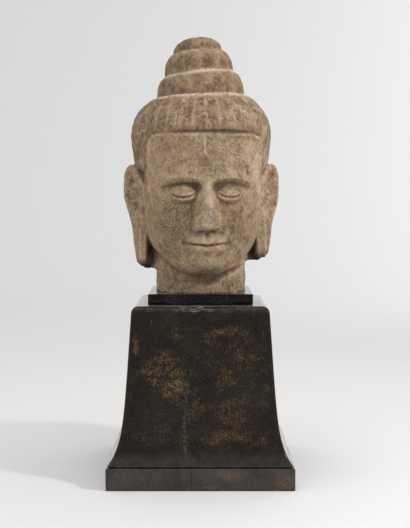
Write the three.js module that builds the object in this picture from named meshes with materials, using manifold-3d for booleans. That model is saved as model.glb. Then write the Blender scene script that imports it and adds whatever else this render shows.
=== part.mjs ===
// A carved sandstone head of a buddha, broken off at the neck, on a black wooden pedestal.
// Millimetres, +Z up, the face looks along -Y. The origin is the middle of the pedestal's underside.
import * as THREE from "three";
import { mergeVertices } from "three/addons/utils/BufferGeometryUtils.js";
import Module from "manifold-3d";

const { degToRad, lerp, smoothstep } = THREE.MathUtils;

// Driving sizes of the pedestal, which is square in plan
const SLAB_WIDTH = 246;
const SLAB_HEIGHT = 29;
const SLAB_EASING = 1.5;
const BODY_HEIGHT = 207.5;
const BODY_TOP_HALF = 91.2;
const BODY_TAPER = 0.066; // how far each side leans out for each millimetre down
const FLARE_REACH = 18.4; // how far the foot spreads beyond the leaning side
const FLARE_RISE = 23; // height over which the spread falls to a third
const SHOULDER_RADIUS = 9;
const FOOT_EASING = 2;
const SEAT_WIDTH = 140;
const SEAT_HEIGHT = 14.5;
const SEAT_EASING = 0.8;

// Driving sizes of the head, as heights above the floor and half widths
const NECK_FOOT = SLAB_HEIGHT + BODY_HEIGHT + SEAT_HEIGHT;
const HEAD_TOP = 600;
const HEAD_TURN = degToRad(5); // towards the head's own left
const AXIS_BACK = 6; // the head's axis stands behind the pedestal's
const HAIRLINE = 463;
const CHIN = 276;
const HAIR_THICKNESS = 4;
const PANEL_HALF = 77; // half the width of the bare face between the locks
const PANEL_CORNER = 15;
const PANEL_EDGE = 1.5; // half the width of the step from bare face to hair
const LOCK_FOOT = { from: 370, to: 410 }; // heights between which the locks before the ears thin out
const HAIR_DOME_RISE = 69;

// The face is on the sculptor's canon: three equal parts from hairline to chin
const FACE_THIRD = (HAIRLINE - CHIN) / 3;
const BROW = HAIRLINE - FACE_THIRD;
const NOSE_BASE = BROW - FACE_THIRD;
const MOUTH = NOSE_BASE - FACE_THIRD / 3;
const EYE = BROW - FACE_THIRD * 0.24;
const EYE_WIDTH = (2 * PANEL_HALF) / 5;

// How far each carved feature stands out of the plain face, or is sunk into it
const RELIEF = {
  brow: 3,
  socket: -7,
  lid: 6.5,
  cheek: 3.5,
  noseRoot: 5,
  noseTip: 25,
  noseBroken: 17,
  nostril: 8,
  upperLip: 5,
  lowerLip: 5.5,
  mouthMound: 4,
  chin: 6,
};

// Levels of the head below the hairline: height, half width, depth to the front and to the back, squareness
const SECTIONS = [
  { level: NECK_FOOT, halfWidth: 60, front: 82, back: 62, squareness: 2.2 },
  { level: CHIN, halfWidth: 64, front: 86, back: 68, squareness: 2.3 },
  { level: MOUTH, halfWidth: 75, front: 93, back: 84, squareness: 2.4 },
  { level: (NOSE_BASE + EYE) / 2, halfWidth: 84, front: 97, back: 96, squareness: 2.5 },
  { level: BROW, halfWidth: 85, front: 98, back: 102, squareness: 2.6 },
  { level: HAIRLINE, halfWidth: 92.5, front: 97, back: 101, squareness: 2.4 },
];
const NECK = { halfWidth: 62, front: 58, back: 58, squareness: 2.1 };
const BACK_SQUARENESS = 2.1; // the back of the head is rounder than the face
const JAW = { front: CHIN, side: 310, nape: 322, turn: 28, napeTurn: 46 };

// The topknot is three stepped rings that lean a little to one side and rise towards the other and the front
const RINGS = [
  { foot: 517, radius: 60.5 },
  { foot: 549, radius: 47.5 },
  { foot: 579.5, radius: 34 },
];
const RING_OVERLAP = 2.5; // how far each ring's top runs in under the next ring
const RING_ROUNDNESS = 2.2;
const TOPKNOT_LEAN = -5;
const TOPKNOT_SLOPE = { across: 0.09, ahead: 0.045, from: 490, to: 550 };

// Long ears, set at a slant, with hollow shells and lobes broken off at different lengths
const EAR = {
  widest: 390,
  waist: 346,
  front: 77,
  ahead: 20,
  slant: degToRad(45),
  thickness: 34,
  rounding: 3,
  hollow: 2.5,
  recess: { depth: 16, front: -10, back: 3, top: 342, belowEnd: 4 },
  shell: { across: 0.56, halves: [10, 25], lean: -0.12 },
};
const EARS = [
  { side: 1, reach: 53, lobeReach: 33, top: 426, lobeEnd: 290 },
  { side: -1, reach: 45, lobeReach: 25, top: 424, lobeEnd: 279 },
];
const EAR_TOP = Math.max(...EARS.map((ear) => ear.top));

// The finial is lost: its stump is broken off at a slope
const BREAK = { x: -37.5, z: 587.5, slope: degToRad(26), size: 90 };

// Turns from the front, in radians, between which the locks give way to hair and the cheek to the back
const LOCK_TURN = { from: 1.3, to: 1.7 };
const CHEEK_TURN = { from: 1.7, to: 2.1 };
const CHEEK_GAP = 2; // the cheek runs this far outside the face before it meets the ear
const CHEEK_FADE = 14; // height below the ear's top over which the cheek comes in
const CARVED_FRONT = { from: 0.2, to: 0.55 }; // cosines of the turn where the carved face fades in

// How finely the stone is faceted
const COLUMNS = 60;
const FRONT_CROWDING = 0.5;

const bell = (offset, spread) => Math.exp(-0.5 * (offset / spread) ** 2);

// Pedestal: square pieces, each a profile of half widths swept round four sides
function squareTurning(profile) {
  const corners = profile.map(([half, z]) => new THREE.Vector2(half * Math.SQRT2, z));
  return new THREE.LatheGeometry(corners, 4, Math.PI / 4).rotateX(Math.PI / 2);
}

function easedBlock(half, foot, top, easing) {
  return squareTurning([
    [0, foot],
    [half - easing, foot],
    [half, foot + easing],
    [half, top - easing],
    [half - easing, top],
    [0, top],
  ]);
}

function pedestalBody() {
  const foot = SLAB_HEIGHT;
  const top = foot + BODY_HEIGHT;
  const shoulder = top - SHOULDER_RADIUS;
  const side = (z) =>
    BODY_TOP_HALF + BODY_TAPER * (shoulder - z) + FLARE_REACH * Math.exp((foot - z) / FLARE_RISE);
  const profile = [
    [0, foot],
    [side(foot) - FOOT_EASING, foot],
  ];
  const steps = 16;
  for (let i = 0; i <= steps; i++) {
    const z = lerp(foot + FOOT_EASING, shoulder, (i / steps) ** 1.7);
    profile.push([side(z), z]);
  }
  const turns = 5;
  for (let i = 1; i <= turns; i++) {
    const angle = (i / turns) * (Math.PI / 2);
    const inset = SHOULDER_RADIUS * (1 - Math.cos(angle));
    profile.push([side(shoulder) - inset, shoulder + SHOULDER_RADIUS * Math.sin(angle)]);
  }
  profile.push([0, top]);
  return squareTurning(profile);
}

// Head: one stone, lofted from sections measured outwards from its axis
const sectionSizes = new THREE.CubicInterpolant(
  SECTIONS.map((s) => s.level),
  SECTIONS.flatMap((s) => [s.halfWidth, s.front, s.back, s.squareness]),
  4,
);

// Distance from the axis to a squared oval, looking out at an angle from the front
function ovalReach(angle, [halfWidth, front, back, squareness]) {
  const [depth, power] = Math.cos(angle) > 0 ? [front, squareness] : [back, BACK_SQUARENESS];
  const across = Math.abs(Math.sin(angle) / halfWidth) ** power;
  const along = Math.abs(Math.cos(angle) / depth) ** power;
  return (across + along) ** (-1 / power);
}

// The lower edge of the jaw climbs from the chin to the ears and runs on as the nape's hairline
function jawLevel(angle) {
  const turn = Math.abs(angle);
  const side = lerp(JAW.front, JAW.side, smoothstep(turn, 0.25, 1.5));
  return lerp(side, JAW.nape, smoothstep(turn, 1.5, 2.6));
}

// Height over which the jaw or the nape rounds under to the neck
const jawTurn = (angle) => lerp(JAW.turn, JAW.napeTurn, smoothstep(Math.abs(angle), 1.3, 2.4));

// How much of the hair's thickness covers a point: none on the face, all of it elsewhere
function hairCover(x, z, angle) {
  const beside = Math.abs(x) - PANEL_HALF + PANEL_CORNER;
  const above = z - HAIRLINE + PANEL_CORNER;
  const outside = Math.hypot(Math.max(beside, 0), Math.max(above, 0)) - PANEL_CORNER;
  const edge = smoothstep(outside, -PANEL_EDGE, PANEL_EDGE);
  const beforeEar = 1 - smoothstep(Math.abs(angle), LOCK_TURN.from, LOCK_TURN.to);
  const thinned = beforeEar * (1 - smoothstep(z, LOCK_FOOT.from, LOCK_FOOT.to));
  return Math.cos(angle) > 0 ? edge * (1 - thinned) : 1;
}

// How far the carved features stand forward at a point of the face
function faceRelief(x, z) {
  const side = Math.abs(x);
  const fromEye = side - EYE_WIDTH;
  const browLine = BROW + 5 * bell(side - EYE_WIDTH * 1.1, 16);
  const brow = RELIEF.brow * bell(z - browLine, 5) * (1 - smoothstep(side, 48, 64));
  const socket = RELIEF.socket * bell(fromEye, 15) * bell(z - EYE - 4, 9);
  const lid = RELIEF.lid * bell(fromEye, 12) * bell(z - EYE + 1, 7);
  const cheek = RELIEF.cheek * bell(side - 43, 17) * bell(z - NOSE_BASE - 12, 20);

  const downNose = THREE.MathUtils.clamp((BROW - z) / FACE_THIRD, 0, 1);
  const ridge = Math.min(lerp(RELIEF.noseRoot, RELIEF.noseTip, downNose), RELIEF.noseBroken);
  const bridge = ridge * bell(x, lerp(8, 9.5, downNose)) * (1 - smoothstep(z, BROW - 12, BROW + 14));
  const nostrils = RELIEF.nostril * bell(side - EYE_WIDTH * 0.4, 5.5) * bell(z - NOSE_BASE - 9, 6);
  const nose = (bridge + nostrils) * smoothstep(z, NOSE_BASE - 3, NOSE_BASE + 4);

  const upperLip = RELIEF.upperLip * bell(z - MOUTH - 5, 4);
  const lowerLip = RELIEF.lowerLip * bell(z - MOUTH + 6, 4.5);
  const lips = (upperLip + lowerLip) * (1 - smoothstep(side, 12, 28));
  const mouthMound = RELIEF.mouthMound * bell(x, 26) * bell(z - MOUTH, 18);
  const chin = RELIEF.chin * bell(x, 16) * bell(z - CHIN - 14, 12);
  return brow + socket + lid + cheek + nose + lips + mouthMound + chin;
}

// Each ring ends where the next one stands on it
const ringTop = (index) => (index + 1 < RINGS.length ? RINGS[index + 1].foot : HEAD_TOP);

function ringReach(z) {
  const index = RINGS.findLastIndex((ring) => z >= ring.foot);
  const { foot, radius } = RINGS[index];
  const inner = index + 1 < RINGS.length ? RINGS[index + 1].radius - RING_OVERLAP : 0;
  const climb = Math.min(1, (z - foot) / (ringTop(index) - foot));
  return inner + (radius - inner) * (1 - climb ** RING_ROUNDNESS) ** (1 / RING_ROUNDNESS);
}

function headPoint(angle, z) {
  const lean = TOPKNOT_LEAN * smoothstep(z, RINGS[0].foot - 10, HEAD_TOP);
  const { across, ahead, from, to } = TOPKNOT_SLOPE;
  const slope = across * Math.sin(angle) + ahead * Math.cos(angle);
  const sloped = smoothstep(z, from, to);
  const place = (reach, forward = 0) =>
    new THREE.Vector3(
      lean + reach * Math.sin(angle),
      -reach * Math.cos(angle) - forward,
      z + sloped * slope * reach,
    );
  if (z >= RINGS[0].foot) return place(ringReach(z));

  const climb = Math.max(0, (z - HAIRLINE) / HAIR_DOME_RISE);
  const dome = (1 - climb ** RING_ROUNDNESS) ** (1 / RING_ROUNDNESS);
  const bare = ovalReach(angle, sectionSizes.evaluate(Math.min(z, HAIRLINE)));
  const hair = HAIR_THICKNESS * hairCover(bare * Math.sin(angle), z, angle);
  const neck = ovalReach(angle, [NECK.halfWidth, NECK.front, NECK.back, NECK.squareness]);
  const outer = (bare + hair) * dome;
  const belowEarTop = 1 - smoothstep(z, EAR_TOP - CHEEK_FADE, EAR_TOP);
  const beforeEar = belowEarTop * (1 - smoothstep(Math.abs(angle), CHEEK_TURN.from, CHEEK_TURN.to));
  const cheekSide = Math.min(outer, (PANEL_HALF + CHEEK_GAP) / Math.abs(Math.sin(angle)));
  const overJaw = THREE.MathUtils.clamp((z - jawLevel(angle)) / jawTurn(angle), 0, 1);
  const jawRound = Math.sqrt(1 - (1 - overJaw) ** 2);
  const reach = lerp(neck, lerp(outer, cheekSide, beforeEar), jawRound);
  const carved = smoothstep(Math.cos(angle), CARVED_FRONT.from, CARVED_FRONT.to) * jawRound;
  const bareSkin = 1 - hair / HAIR_THICKNESS;
  return place(reach, carved * bareSkin * faceRelief(reach * Math.sin(angle), z));
}

// Rows of the loft follow the jaw's edge, then crowd where the carving is sharp
function headRows() {
  const rows = [0, 0.5, 1].map((t) => (angle) => lerp(NECK_FOOT, jawLevel(angle), t));
  for (const t of [0.02, 0.1, 0.28, 0.55]) rows.push((angle) => jawLevel(angle) + jawTurn(angle) * t);
  const faceRows = 30;
  const faceTop = HAIRLINE - 2;
  for (let i = 0; i <= faceRows; i++) {
    rows.push((angle) => lerp(jawLevel(angle) + jawTurn(angle), faceTop, i / faceRows));
  }
  const spread = (from, to, count) => {
    for (let i = 0; i <= count; i++) rows.push(() => lerp(from, to, Math.sin((i / count) * (Math.PI / 2))));
  };
  spread(HAIRLINE + 2, RINGS[0].foot - 0.3, 7);
  RINGS.forEach(({ foot }, i) => {
    const last = i + 1 === RINGS.length;
    spread(foot, ringTop(i) - (last ? 1 : 0.3), last ? 7 : 6);
  });
  return rows;
}

function columnAngles() {
  return Array.from({ length: COLUMNS }, (_, i) => {
    const even = (i / COLUMNS) * 2 * Math.PI - Math.PI;
    return even - FRONT_CROWDING * Math.sin(even);
  });
}

function loftHead() {
  const angles = columnAngles();
  const rows = headRows();
  const points = rows.flatMap((level) => angles.map((angle) => headPoint(angle, level(angle))));
  const foot = points.push(new THREE.Vector3(0, 0, NECK_FOOT)) - 1;
  const crown = points.push(new THREE.Vector3(TOPKNOT_LEAN, 0, HEAD_TOP)) - 1;
  const faces = [];
  const at = (row, column) => row * COLUMNS + (column % COLUMNS);
  for (let column = 0; column < COLUMNS; column++) {
    faces.push(foot, at(0, column + 1), at(0, column));
    for (let row = 0; row + 1 < rows.length; row++) {
      const [a, b] = [at(row, column), at(row, column + 1)];
      const [c, d] = [at(row + 1, column + 1), at(row + 1, column)];
      faces.push(a, b, c, a, c, d);
    }
    const top = rows.length - 1;
    faces.push(crown, at(top, column), at(top, column + 1));
  }
  return new THREE.BufferGeometry().setFromPoints(points).setIndex(faces);
}

// Ear: outline of the shell and the long lobe, from its front edge out to its free edge
function earOutline({ reach, lobeReach, top, lobeEnd }) {
  const { widest, waist } = EAR;
  const outline = new THREE.Shape();
  outline.moveTo(-4, lobeEnd);
  outline.lineTo(lobeReach - 4, lobeEnd + 10);
  outline.bezierCurveTo(lobeReach, lobeEnd + 24, lobeReach + 1, waist - 15, lobeReach + 6.5, waist);
  outline.bezierCurveTo(lobeReach + 10, waist + 12, reach, widest - 14, reach, widest);
  outline.bezierCurveTo(reach, widest + 16, reach - 1, top - 2, reach - 8, top);
  outline.bezierCurveTo(reach / 2, top + 3, 4, top, -2, top - 12);
  outline.bezierCurveTo(-5, widest - 14, -4, waist - 12, -4, lobeEnd);
  return outline;
}

// The shallow hollow of the shell
function earHollow({ reach, top }) {
  const { waist, shell } = EAR;
  const middle = [reach * shell.across, (top + waist) / 2];
  return new THREE.Shape().absellipse(...middle, ...shell.halves, 0, 2 * Math.PI, false, shell.lean);
}

// The narrow gap between the lobe and the jaw, which closes to a point below the shell
function lobeRecess({ lobeEnd }) {
  const { front, back, top, belowEnd } = EAR.recess;
  const foot = lobeEnd - belowEnd;
  const outline = new THREE.Shape();
  outline.moveTo(front, foot);
  outline.lineTo(back, foot);
  outline.bezierCurveTo(back, lerp(foot, top, 0.6), lerp(front, back, 0.7), top, lerp(front, back, 0.5), top);
  outline.lineTo(front, foot);
  return outline;
}

// Stands an outline on the slanted plane of an ear; depths run from the ear's face into the stone
function earBlock(outline, side, fromDepth, toDepth, rounding) {
  const geometry = new THREE.ExtrudeGeometry(outline, {
    depth: toDepth - fromDepth - 2 * rounding,
    curveSegments: 7,
    bevelEnabled: rounding > 0,
    bevelThickness: rounding,
    bevelSize: rounding,
    bevelOffset: -rounding,
    bevelSegments: 2,
  });
  geometry.translate(0, 0, side > 0 ? rounding - toDepth : rounding + fromDepth);
  const across = new THREE.Vector3(side * Math.cos(EAR.slant), Math.sin(EAR.slant), 0);
  const up = new THREE.Vector3(0, 0, 1);
  const stand = new THREE.Matrix4().makeBasis(across, up, across.clone().cross(up));
  stand.setPosition(side * EAR.front, -EAR.ahead, 0);
  return geometry.applyMatrix4(stand);
}

const wasm = await Module();
wasm.setup();

function solid(geometry) {
  const bare = new THREE.BufferGeometry().setAttribute("position", geometry.getAttribute("position"));
  bare.setIndex(geometry.index);
  const merged = mergeVertices(bare, 1e-3);
  return new wasm.Manifold(
    new wasm.Mesh({
      numProp: 3,
      vertProperties: merged.getAttribute("position").array,
      triVerts: new Uint32Array(merged.index.array),
    }),
  );
}

function geometryOf(manifold) {
  const { vertProperties, triVerts } = manifold.getMesh();
  return new THREE.BufferGeometry()
    .setAttribute("position", new THREE.BufferAttribute(vertProperties, 3))
    .setIndex(new THREE.BufferAttribute(triVerts, 1));
}

function stoneHead() {
  let stone = solid(loftHead());
  for (const ear of EARS) {
    stone = stone.add(solid(earBlock(earOutline(ear), ear.side, 0, EAR.thickness, EAR.rounding)));
    stone = stone.subtract(solid(earBlock(earHollow(ear), ear.side, -EAR.hollow, EAR.hollow, 0)));
    const recess = earBlock(lobeRecess(ear), ear.side, -EAR.recess.depth, EAR.recess.depth, 0);
    stone = stone.subtract(solid(recess));
  }
  const lost = new THREE.BoxGeometry(BREAK.size, BREAK.size, BREAK.size);
  lost.translate(0, 0, BREAK.size / 2).rotateY(-BREAK.slope).translate(BREAK.x, 0, BREAK.z);
  return geometryOf(stone.subtract(solid(lost)));
}

const sandstone = new THREE.MeshStandardMaterial({ color: 0x8a7660, roughness: 0.92, metalness: 0 });
const blackPaint = new THREE.MeshStandardMaterial({ color: 0x24201d, roughness: 0.5, metalness: 0 });

function piece(name, geometry, material) {
  const mesh = new THREE.Mesh(geometry, material);
  mesh.name = name;
  return mesh;
}

const bodyTop = SLAB_HEIGHT + BODY_HEIGHT;
const head = piece("stone_head", stoneHead(), sandstone);
head.position.y = AXIS_BACK;
head.rotation.z = HEAD_TURN;

const buddhaHead = new THREE.Group();
buddhaHead.add(
  piece("base_slab", easedBlock(SLAB_WIDTH / 2, 0, SLAB_HEIGHT, SLAB_EASING), blackPaint),
  piece("pedestal_body", pedestalBody(), blackPaint),
  piece("seat_block", easedBlock(SEAT_WIDTH / 2, bodyTop, NECK_FOOT, SEAT_EASING), blackPaint),
  head,
);

export default buddhaHead;
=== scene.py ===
# A carved sandstone head on a black wooden pedestal. Metres, +Z up, the face looks along -Y.
import math

import bpy
import numpy as np
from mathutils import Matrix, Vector, noise


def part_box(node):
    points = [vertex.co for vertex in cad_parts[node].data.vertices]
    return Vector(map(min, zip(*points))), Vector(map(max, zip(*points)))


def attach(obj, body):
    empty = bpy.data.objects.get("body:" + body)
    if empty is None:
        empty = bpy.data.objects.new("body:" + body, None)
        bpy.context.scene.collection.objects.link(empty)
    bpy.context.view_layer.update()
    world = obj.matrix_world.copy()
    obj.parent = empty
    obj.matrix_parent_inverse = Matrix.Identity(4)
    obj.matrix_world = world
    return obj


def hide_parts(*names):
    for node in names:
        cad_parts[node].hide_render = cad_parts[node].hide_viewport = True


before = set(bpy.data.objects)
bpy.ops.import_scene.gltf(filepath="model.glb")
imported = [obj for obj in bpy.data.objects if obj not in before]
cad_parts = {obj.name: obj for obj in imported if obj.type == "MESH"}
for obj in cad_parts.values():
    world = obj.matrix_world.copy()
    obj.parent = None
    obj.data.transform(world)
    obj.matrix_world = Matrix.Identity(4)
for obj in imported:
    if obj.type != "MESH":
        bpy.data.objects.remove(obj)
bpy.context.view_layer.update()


# Base slab
# A square board of close-grained wood, painted black, that the whole work stands on.
# Its edges are eased by plane and by wear, and a crack in the timber runs up its front.
mm = 0.001
slab_low, slab_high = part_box("base_slab")
slab_easing = 1.5 * mm
slab_grid = 4 * mm
slab_crack_x = -12 * mm
crack_half_width = 0.6 * mm
slab_crack_depth = 0.7 * mm
slab_coat = (0.0425, 0.0388, 0.0400)
slab_shine = 0.12
smooth_below = math.radians(40)


def work_on(piece):
    """Selects one piece alone and makes it the one that operators act on."""
    bpy.ops.object.select_all(action="DESELECT")
    bpy.context.view_layer.objects.active = piece
    piece.select_set(True)


def apply_modifier(piece, kind, **settings):
    work_on(piece)
    modifier = piece.modifiers.new(kind.lower(), kind)
    for name, value in settings.items():
        setattr(modifier, name, value)
    bpy.ops.object.modifier_apply(modifier=modifier.name)


def slice_piece(axis, places):
    """In edit mode, cuts new edge loops square across an axis at each place."""
    normal = [float(i == axis) for i in range(3)]
    for place in places:
        bpy.ops.mesh.select_all(action="SELECT")
        bpy.ops.mesh.bisect(plane_co=[place * n for n in normal], plane_no=normal)


def eased_board(name, low, high, easing, grid):
    """A sawn board with planed edges, cut into a grid fine enough to dent."""
    bpy.ops.object.select_all(action="DESELECT")
    bpy.ops.mesh.primitive_cube_add(size=1, location=(low + high) / 2)
    board = bpy.context.object
    board.name = board.data.name = name
    board.scale = high - low
    bpy.ops.object.transform_apply(location=True, rotation=True, scale=True)
    bpy.ops.object.mode_set(mode="EDIT")
    bpy.ops.mesh.select_all(action="SELECT")
    bpy.ops.mesh.bevel(offset=easing, segments=3, affect="EDGES")
    for axis in (0, 1):
        slice_piece(axis, np.arange(low[axis] + grid, high[axis] - grid / 2, grid))
    bpy.ops.object.mode_set(mode="OBJECT")
    return board


def points_of(piece):
    places = np.empty(len(piece.data.vertices) * 3)
    piece.data.vertices.foreach_get("co", places)
    return places.reshape(-1, 3)


def normals_of(piece):
    directions = np.empty(len(piece.data.vertices) * 3)
    piece.data.vertex_normals.foreach_get("vector", directions)
    return directions.reshape(-1, 3)


def move_points(piece, places):
    piece.data.vertices.foreach_set("co", places.astype(np.float32).ravel())
    piece.data.update()


def mark_points(piece, name, amounts):
    """Stores how much of something each point has, for a material to read."""
    layer = piece.data.attributes.new(name, "FLOAT", "POINT")
    layer.data.foreach_set("value", np.clip(amounts, 0, 1).astype(np.float32))


def mottle(places, size, seed, octaves=3):
    """Even noise of about -1 to 1 at each place, with patches of the given size."""
    shift = Vector((seed * 7.31, seed * 3.17, seed * 5.77))
    values = [noise.fractal(Vector(p) / size + shift, 0.8, 2.1, octaves) for p in places]
    return np.array(values)


def ramp(values, start, end):
    share = np.clip((values - start) / (end - start), 0, 1)
    return share * share * (3 - 2 * share)


def bell(offset, spread):
    return np.exp(-0.5 * (offset / spread) ** 2)


def dent_edges(piece, low, high, reach, depth, seed):
    """Knocks small nicks into a board's long edges."""
    places = points_of(piece)
    to_side = np.minimum(places - np.array(low), np.array(high) - places)
    second_nearest = np.sort(to_side, axis=1)[:, 1]
    at_edge = 1 - ramp(second_nearest, 0, reach)
    knocks = ramp(mottle(places, 14 * mm, seed), 0.15, 0.75)
    inwards = np.array((low + high) / 2) - places
    inwards /= np.linalg.norm(inwards, axis=1)[:, None]
    move_points(piece, places + inwards * (at_edge * knocks * depth)[:, None])
    return at_edge


def open_crack(piece, middle, path, depth):
    """Bends the cut lines on the front face along a wandering path and sinks the middle one."""
    places = points_of(piece)
    front = normals_of(piece)[:, 1] < -0.3
    off = np.abs(places[:, 0] - middle)
    heights = places[:, 2]
    places[:, 0] += front * path(heights) * bell(off, 8 * mm)
    places[:, 1] += front * depth(heights) * np.clip(1 - off / crack_half_width, 0, 1)
    move_points(piece, places)


def rub_patches(places, patches):
    """How far the front is rubbed: each patch has its place across and up, half sizes and amount, in mm."""
    rubbed = np.zeros(len(places))
    for across, up, half_wide, half_high, amount in patches:
        beside = bell(places[:, 0] / mm - across, 0.7 * half_wide)
        above = bell(places[:, 2] / mm - up, 0.7 * half_high)
        rubbed = np.maximum(rubbed, amount * beside * above)
    return rubbed


class Finish:
    """A material mixed up from patterns that lie fixed in the piece."""

    def __init__(self, name):
        self.material = bpy.data.materials.new(name)
        self.material.use_nodes = True
        self.nodes = self.material.node_tree.nodes
        self.links = self.material.node_tree.links
        self.shader = self.nodes["Principled BSDF"]
        self.place = self.nodes.new("ShaderNodeTexCoord").outputs["Object"]

    def feed(self, socket, value):
        if isinstance(value, (int, float, tuple)):
            socket.default_value = value
        else:
            self.links.new(value, socket)

    def stretch(self, scale, turn=(0, 0, 0)):
        mapping = self.nodes.new("ShaderNodeMapping")
        mapping.inputs["Scale"].default_value = scale
        mapping.inputs["Rotation"].default_value = turn
        self.links.new(self.place, mapping.inputs["Vector"])
        return mapping.outputs["Vector"]

    def grain(self, scale, turn=(0, 0, 0), detail=4.0, roughness=0.6):
        """Cloudy noise with so many patches to the metre along each axis."""
        cloud = self.nodes.new("ShaderNodeTexNoise")
        cloud.inputs["Scale"].default_value = 1.0
        cloud.inputs["Detail"].default_value = detail
        cloud.inputs["Roughness"].default_value = roughness
        self.links.new(self.stretch(scale, turn), cloud.inputs["Vector"])
        return cloud.outputs["Fac"]

    def step(self, value, start, end, low=0.0, high=1.0):
        part = self.nodes.new("ShaderNodeMapRange")
        part.interpolation_type = "SMOOTHSTEP"
        for name, setting in (("From Min", start), ("From Max", end), ("To Min", low), ("To Max", high)):
            part.inputs[name].default_value = setting
        self.links.new(value, part.inputs["Value"])
        return part.outputs["Result"]

    def maths(self, operation, first, second):
        node = self.nodes.new("ShaderNodeMath")
        node.operation = operation
        self.feed(node.inputs[0], first)
        self.feed(node.inputs[1], second)
        return node.outputs["Value"]

    def times(self, first, second):
        return self.maths("MULTIPLY", first, second)

    def mix(self, amount, first, second, blend="MIX"):
        mixed = self.nodes.new("ShaderNodeMix")
        mixed.data_type = "RGBA"
        mixed.blend_type = blend
        sockets = {socket.identifier: socket for socket in mixed.inputs}
        self.feed(sockets["Factor_Float"], amount)
        self.feed(sockets["A_Color"], first)
        self.feed(sockets["B_Color"], second)
        return next(s for s in mixed.outputs if s.identifier == "Result_Color")

    def mark(self, name):
        """How much of something each point of the piece was marked with."""
        marked = self.nodes.new("ShaderNodeAttribute")
        marked.attribute_name = name
        return marked.outputs["Fac"]

    def relief(self, height, strength, depth):
        bump = self.nodes.new("ShaderNodeBump")
        bump.inputs["Strength"].default_value = strength
        bump.inputs["Distance"].default_value = depth
        self.links.new(height, bump.inputs["Height"])
        self.links.new(bump.outputs["Normal"], self.shader.inputs["Normal"])


# Linear colours of the paint's ground, of the wear and dusting on it, and of a painted reflection and sheen
ground_brown = (0.120, 0.064, 0.026, 1)
ground_gold = (0.175, 0.120, 0.043, 1)
crackle_brown = (0.027, 0.025, 0.019, 1)
edge_brown = (0.050, 0.026, 0.013, 1)
dust_and_sheen_grey = (0.200, 0.193, 0.180, 1)
scrape_grey = (0.190, 0.185, 0.170, 1)
scratch_tan = (0.150, 0.128, 0.090, 1)
speck_white = (0.27, 0.26, 0.23, 1)
brush_shade = (0.45, 0.45, 0.45, 1)


def black_paint(name, coat, shine):
    """Black paint on wood, lacquered, rubbed through in fine flecks to the golden ground below it."""
    finish = Finish(name)
    rubbed = finish.mark("rubbed")
    upright = finish.grain((900, 900, 230), (0, 0.12, 0), detail=3.0)
    crossing = finish.grain((280, 280, 950), (0, -0.2, 0), detail=3.0)
    slanting = finish.grain((600, 600, 240), (0, -0.75, 0), detail=3.0)
    flecks = finish.maths("MAXIMUM", upright, finish.maths("MAXIMUM", crossing, slanting))
    bared = finish.step(finish.maths("ADD", flecks, finish.times(rubbed, 0.13)), 0.61, 0.77)
    bared = finish.times(bared, finish.step(rubbed, 0.03, 0.40))
    clouds = finish.grain((24, 24, 17), detail=4.0)
    brushed = finish.grain((420, 420, 60), detail=3.0)
    bluish = tuple(0.8 * c for c in coat) + (1,)
    brownish = tuple(k * c for k, c in zip((1.5, 1.35, 1.2), coat)) + (1,)
    paint = finish.mix(finish.step(clouds, 0.38, 0.62), bluish, brownish)
    paint = finish.mix(finish.step(brushed, 0.35, 0.65, 0.0, 0.2), paint, brush_shade, "MULTIPLY")
    paint = finish.mix(finish.step(flecks, 0.54, 0.70, 0.0, 0.45), paint, crackle_brown)
    glaze = finish.times(rubbed, finish.step(finish.grain((130, 130, 90)), 0.36, 0.60, 0.2, 0.9))
    worn_thin = tuple(c + b for c, b in zip(coat, (0.034, 0.017, 0.0055))) + (1,)
    paint = finish.mix(glaze, paint, worn_thin)
    edge = finish.times(finish.mark("edge"), finish.step(upright, 0.44, 0.64))
    paint = finish.mix(edge, paint, edge_brown)
    ground = finish.mix(finish.mark("golden"), ground_brown, ground_gold)
    paint = finish.mix(bared, paint, ground)
    # Pale grey where marked: real dusting in greyed patches, dusting with painted sheen at the flare's foot,
    # and a painted reflection on the body's flat top
    patchiness = finish.step(finish.grain((75, 75, 75)), 0.34, 0.62, 0.45, 1.0)
    sheen_and_dust = finish.times(finish.mark("dust_and_sheen"), patchiness)
    paint = finish.mix(sheen_and_dust, paint, dust_and_sheen_grey)
    streaks = finish.step(finish.grain((90, 90, 620), (0, 0.1, 0)), 0.50, 0.60)
    scraped = finish.times(finish.mark("scraped"), streaks)
    paint = finish.mix(scraped, paint, scrape_grey)
    scratches = finish.step(finish.grain((480, 480, 26), (0, 0.05, 0), detail=2.0), 0.725, 0.745)
    paint = finish.mix(finish.times(scratches, 0.4), paint, scratch_tan)
    specks = finish.step(finish.grain((430, 430, 430), detail=1.0), 0.775, 0.80)
    paint = finish.mix(finish.times(specks, 0.6), paint, speck_white)
    finish.feed(finish.shader.inputs["Base Color"], paint)
    gloss = finish.step(clouds, 0.3, 0.7, 0.17, 0.27)
    gloss = finish.maths("ADD", gloss, finish.times(bared, 0.25))
    finish.feed(finish.shader.inputs["Roughness"], gloss)
    finish.shader.inputs["Specular IOR Level"].default_value = shine
    finish.shader.inputs["Coat Weight"].default_value = 1.0
    finish.shader.inputs["Coat IOR"].default_value = 1.2
    finish.shader.inputs["Coat Roughness"].default_value = 0.12
    finish.relief(finish.maths("SUBTRACT", finish.times(upright, 0.3), bared), 0.2, 0.3 * mm)
    return finish.material


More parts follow.
